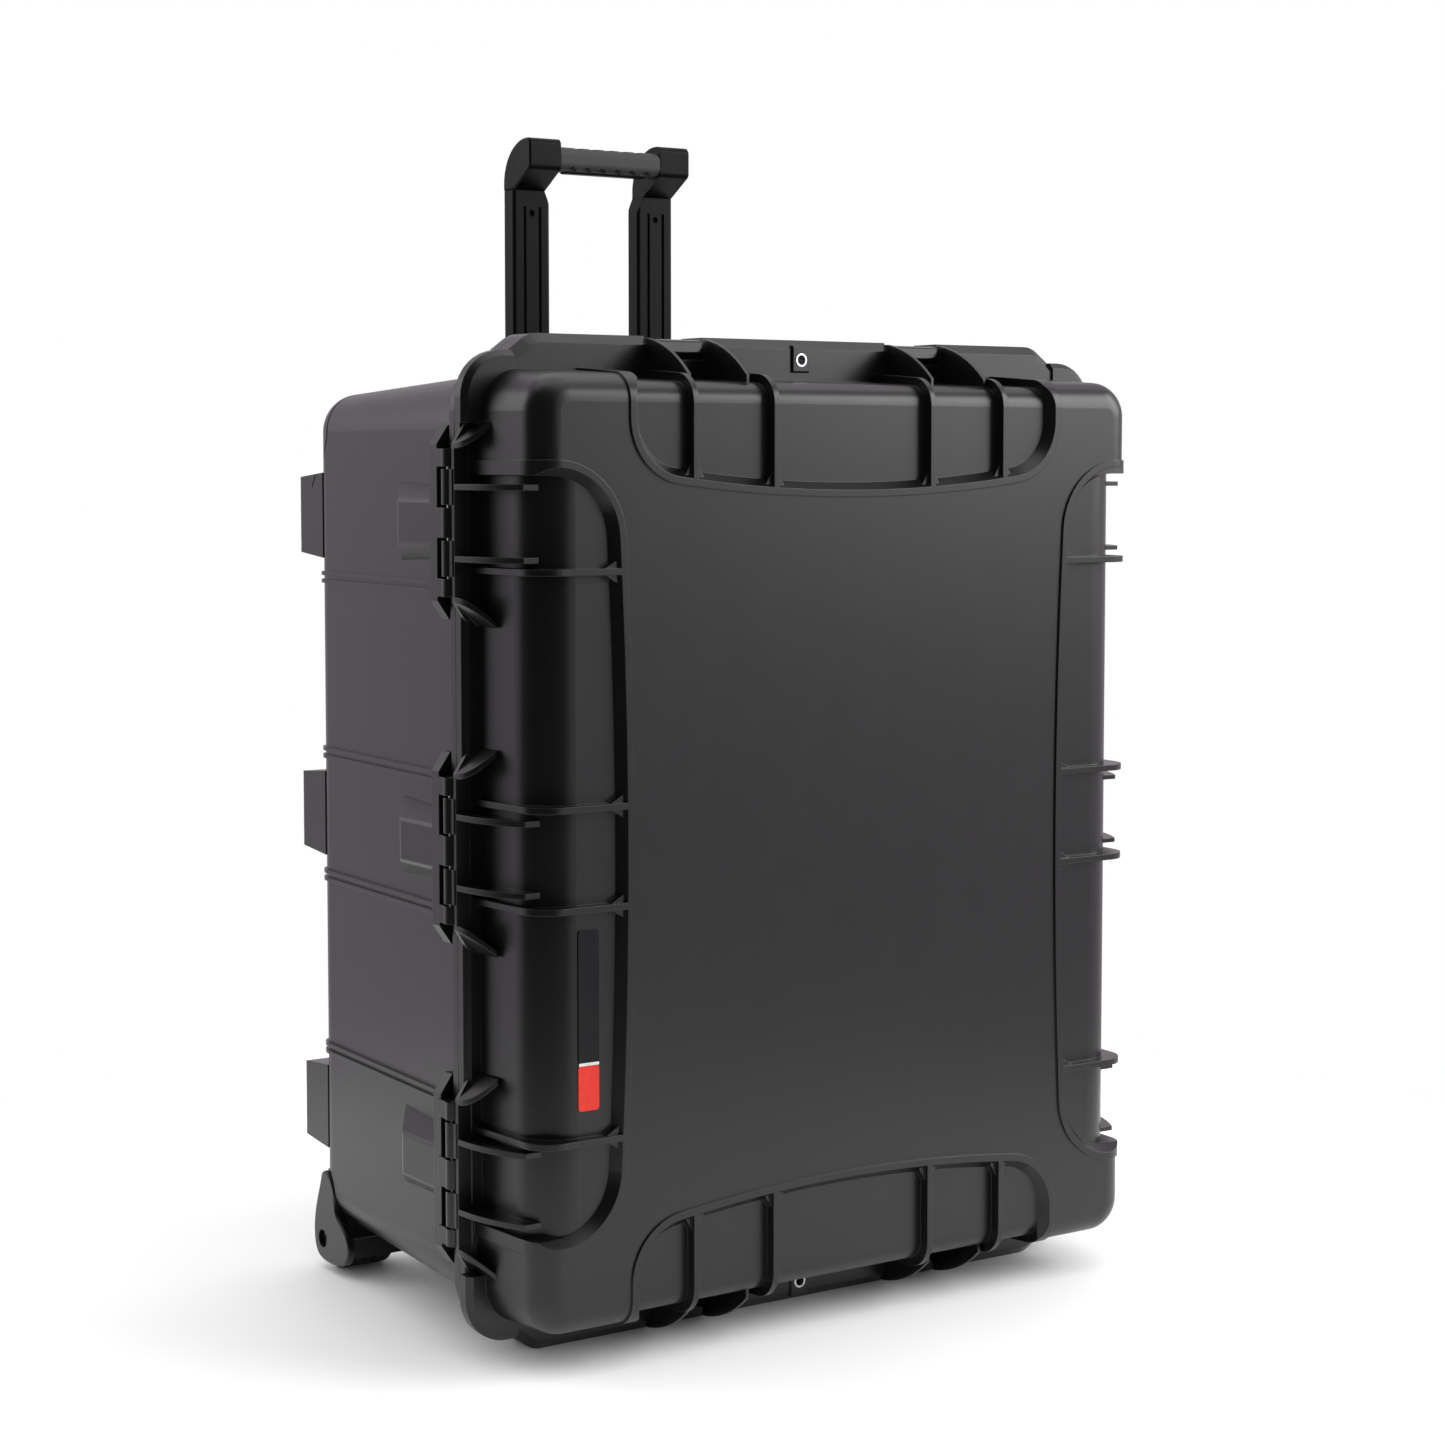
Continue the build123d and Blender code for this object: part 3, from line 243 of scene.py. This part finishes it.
def printed(name, colour, rough):
    """Printed label film: faint print mottling under a smooth skin."""
    s = Shader(name)
    soft = s.soft_edges(0.4 * MM)
    mottle = s.remap(s.noise(220, 4), 0.3, 0.7, 0.0, 1.0)
    darker = tuple(c * 0.85 for c in colour[:3]) + (1.0,)
    paint = s.mix(mottle, darker, colour)
    roughness = s.remap(s.noise(35, 3), 0.3, 0.7, rough - 0.05, rough + 0.06)
    normal = s.bump(s.noise(1800, 2), 0.02 * MM, 0.3, soft)
    return s.finish(paint, roughness, normal, specular=0.25)


FINISHES = {
    "shell": textured_plastic("shell plastic", 0.0035, 0.31),
    "trim": textured_plastic("trim plastic", 0.004, 0.3, grain=1200),
    "sleeve": textured_plastic("sleeve plastic", 0.004, 0.42),
    "latch": smooth_plastic("latch plastic", 0.003, 0.16),
    "block": smooth_plastic("end block plastic", 0.003, 0.36, specular=0.1),
    "grip": rubber("grip rubber", 0.034, 0.6, 900),
    "seal": rubber("seal rubber", 0.012, 0.6, 700),
    "tyre": rubber("tyre rubber", 0.016, 0.65, 500),
    "wheel": textured_plastic("wheel plastic", 0.024, 0.45),
    "leg": anodised("leg anodising", 0.003, 0.3),
    "steel": metal("bright steel", 0.7, 0.24, (1.0, 0.05, 1.0)),
    "dark_steel": metal("blackened steel", 0.06, 0.35, (1.0, 0.05, 1.0)),
    "label": printed("label film dark", (0.003, 0.003, 0.004, 1.0), 0.32),
    "badge": printed("label film red", (0.62, 0.03, 0.018, 1.0), 0.4),
    "line": printed("label film white", (0.6, 0.6, 0.6, 1.0), 0.35),
}

NODE_FINISH = (
    ("lid_shell", "shell"), ("base_shell", "shell"), ("lid_gasket", "seal"), ("label_plate", "label"),
    ("label_badge", "badge"), ("latch_lock", "trim"), ("latch_pins", "steel"), ("latch_", "latch"),
    ("carry_handle", "trim"), ("handle_grip", "grip"), ("valve_body", "trim"), ("valve_cap", "latch"),
    ("grip_core", "block"), ("grip_overmould", "grip"), ("release_bar", "block"), ("housing", "sleeve"),
    ("trolley_leg", "leg"), ("trolley_end", "block"), ("trolley_sleeve", "sleeve"), ("tyre", "tyre"),
    ("wheel_hub", "wheel"), ("wheel_bracket", "shell"), ("axle", "dark_steel"),
    ("bracket_screws", "dark_steel"), ("", "steel"),
)


def finish_nodes():
    """Give each CAD node the finish of the first prefix that its name starts with."""
    for name, node in frame["nodes"].items():
        key = next(finish for prefix, finish in NODE_FINISH if name.startswith(prefix))
        node.data.materials.clear()
        node.data.materials.append(FINISHES[key])


# ---- Label line ----

def label_line():
    """Thin pale strip, domed across its width, between the label's dark and red plates."""
    low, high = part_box("label_badge")
    dark_low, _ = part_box("label_plate")
    z0, z1 = high[2] - LINE_OVERLAP, dark_low[2] + LINE_OVERLAP
    x0, x1 = low[0] + LINE_INSET, high[0] - LINE_INSET
    back = low[1] - 0.05 * MM
    mesh = bmesh.new()
    rings = []
    for x in (x0, x1):
        ring = []
        for i in range(LINE_STEPS + 1):
            turn = math.pi * i / LINE_STEPS
            z = (z0 + z1) / 2 + (z1 - z0) / 2 * math.cos(turn)
            ring.append(mesh.verts.new((x, back - LINE_CROWN * math.sin(turn), z)))
        rings.append(ring)
    for i in range(LINE_STEPS):
        mesh.faces.new((rings[0][i], rings[0][i + 1], rings[1][i + 1], rings[1][i]))
    mesh.faces.new((rings[0][LINE_STEPS], rings[0][0], rings[1][0], rings[1][LINE_STEPS]))
    mesh.faces.new(rings[0][::-1])
    mesh.faces.new(rings[1])
    bmesh.ops.recalc_face_normals(mesh, faces=mesh.faces)
    data = bpy.data.meshes.new("label_line")
    mesh.to_mesh(data)
    mesh.free()
    data.materials.append(FINISHES["line"])
    piece = bpy.data.objects.new("label_line", data)
    bpy.context.scene.collection.objects.link(piece)
    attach(piece, "lid")


# ---- Stage ----

def lights():
    for name, place, size, watts in AREA_LIGHTS:
        data = bpy.data.lights.new(name, "AREA")
        data.shape = "RECTANGLE"
        data.size, data.size_y = size
        data.energy = watts
        light = bpy.data.objects.new(name, data)
        light.location = place
        towards = Vector(LIGHT_TARGET) - Vector(place)
        light.rotation_euler = towards.to_track_quat("-Z", "Y").to_euler()
        bpy.context.scene.collection.objects.link(light)


def world():
    """White studio. Gloss mirrors a grey room with a dark side, and matt faces get an even light."""
    w = bpy.data.worlds.new("studio")
    w.use_nodes = True
    bpy.context.scene.world = w
    nodes, links = w.node_tree.nodes, w.node_tree.links
    room = nodes["Background"]
    seen = nodes.new("ShaderNodeBackground")
    seen.inputs["Color"].default_value = (1, 1, 1, 1)
    place = nodes.new("ShaderNodeTexCoord")
    towards = nodes.new("ShaderNodeVectorMath")
    towards.operation = "DOT_PRODUCT"
    towards.inputs[1].default_value = DARK_SIDE
    links.new(place.outputs["Generated"], towards.inputs[0])
    shade = nodes.new("ShaderNodeMapRange")
    shade.interpolation_type = "SMOOTHSTEP"
    links.new(towards.outputs["Value"], shade.inputs["Value"])
    for key, value in (("From Min", DARK_FROM), ("From Max", DARK_TO),
                       ("To Min", ROOM_LIGHT), ("To Max", ROOM_DARK)):
        shade.inputs[key].default_value = value
    links.new(shade.outputs["Result"], room.inputs["Strength"])
    room.inputs["Color"].default_value = (1.05, 0.97, 1.05, 1)
    even = nodes.new("ShaderNodeBackground")
    even.inputs["Color"].default_value = (1, 1, 1, 1)
    even.inputs["Strength"].default_value = FLOOR_LIGHT
    ray = nodes.new("ShaderNodeLightPath")
    matt, mix = nodes.new("ShaderNodeMixShader"), nodes.new("ShaderNodeMixShader")
    links.new(ray.outputs["Is Diffuse Ray"], matt.inputs["Fac"])
    links.new(room.outputs[0], matt.inputs[1])
    links.new(even.outputs[0], matt.inputs[2])
    links.new(ray.outputs["Is Camera Ray"], mix.inputs["Fac"])
    links.new(matt.outputs[0], mix.inputs[1])
    links.new(seen.outputs[0], mix.inputs[2])
    links.new(mix.outputs[0], nodes["World Output"].inputs["Surface"])


def floor():
    """Round pale floor, which the white world carries on beyond its rim."""
    s = Shader("floor paint")
    tone = s.remap(s.noise(3, 3), 0.3, 0.7, *FLOOR_TONES)
    white = s.add("ShaderNodeCombineColor")
    for channel in ("Red", "Green", "Blue"):
        s.links.new(tone, white.inputs[channel])
    s.finish(white.outputs[0], 0.6, s.bump(s.noise(90, 3), 0.2 * MM, 0.2))
    mesh = bpy.data.meshes.new("studio_floor")
    turns = [2 * math.pi * i / FLOOR_SIDES for i in range(FLOOR_SIDES)]
    rim = [(FLOOR_RADIUS * math.cos(turn), FLOOR_RADIUS * math.sin(turn), 0) for turn in turns]
    mesh.from_pydata(rim, [], [tuple(range(FLOOR_SIDES))])
    mesh.materials.append(s.material)
    plane = bpy.data.objects.new("studio_floor", mesh)
    bpy.context.scene.collection.objects.link(plane)


def camera():
    data = bpy.data.cameras.new("camera")
    data.lens = CAMERA_LENS
    data.sensor_width = CAMERA_SENSOR
    data.shift_y = CAMERA_SHIFT_Y
    eye = bpy.data.objects.new("camera", data)
    eye.location = CAMERA_PLACE
    eye.rotation_euler = (math.radians(90 - CAMERA_DOWN), 0, math.radians(CAMERA_TURN))
    bpy.context.scene.collection.objects.link(eye)
    bpy.context.scene.camera = eye


finish_nodes()
label_line()
world()
lights()
floor()
camera()
bpy.context.scene.view_settings.view_transform = "Standard"
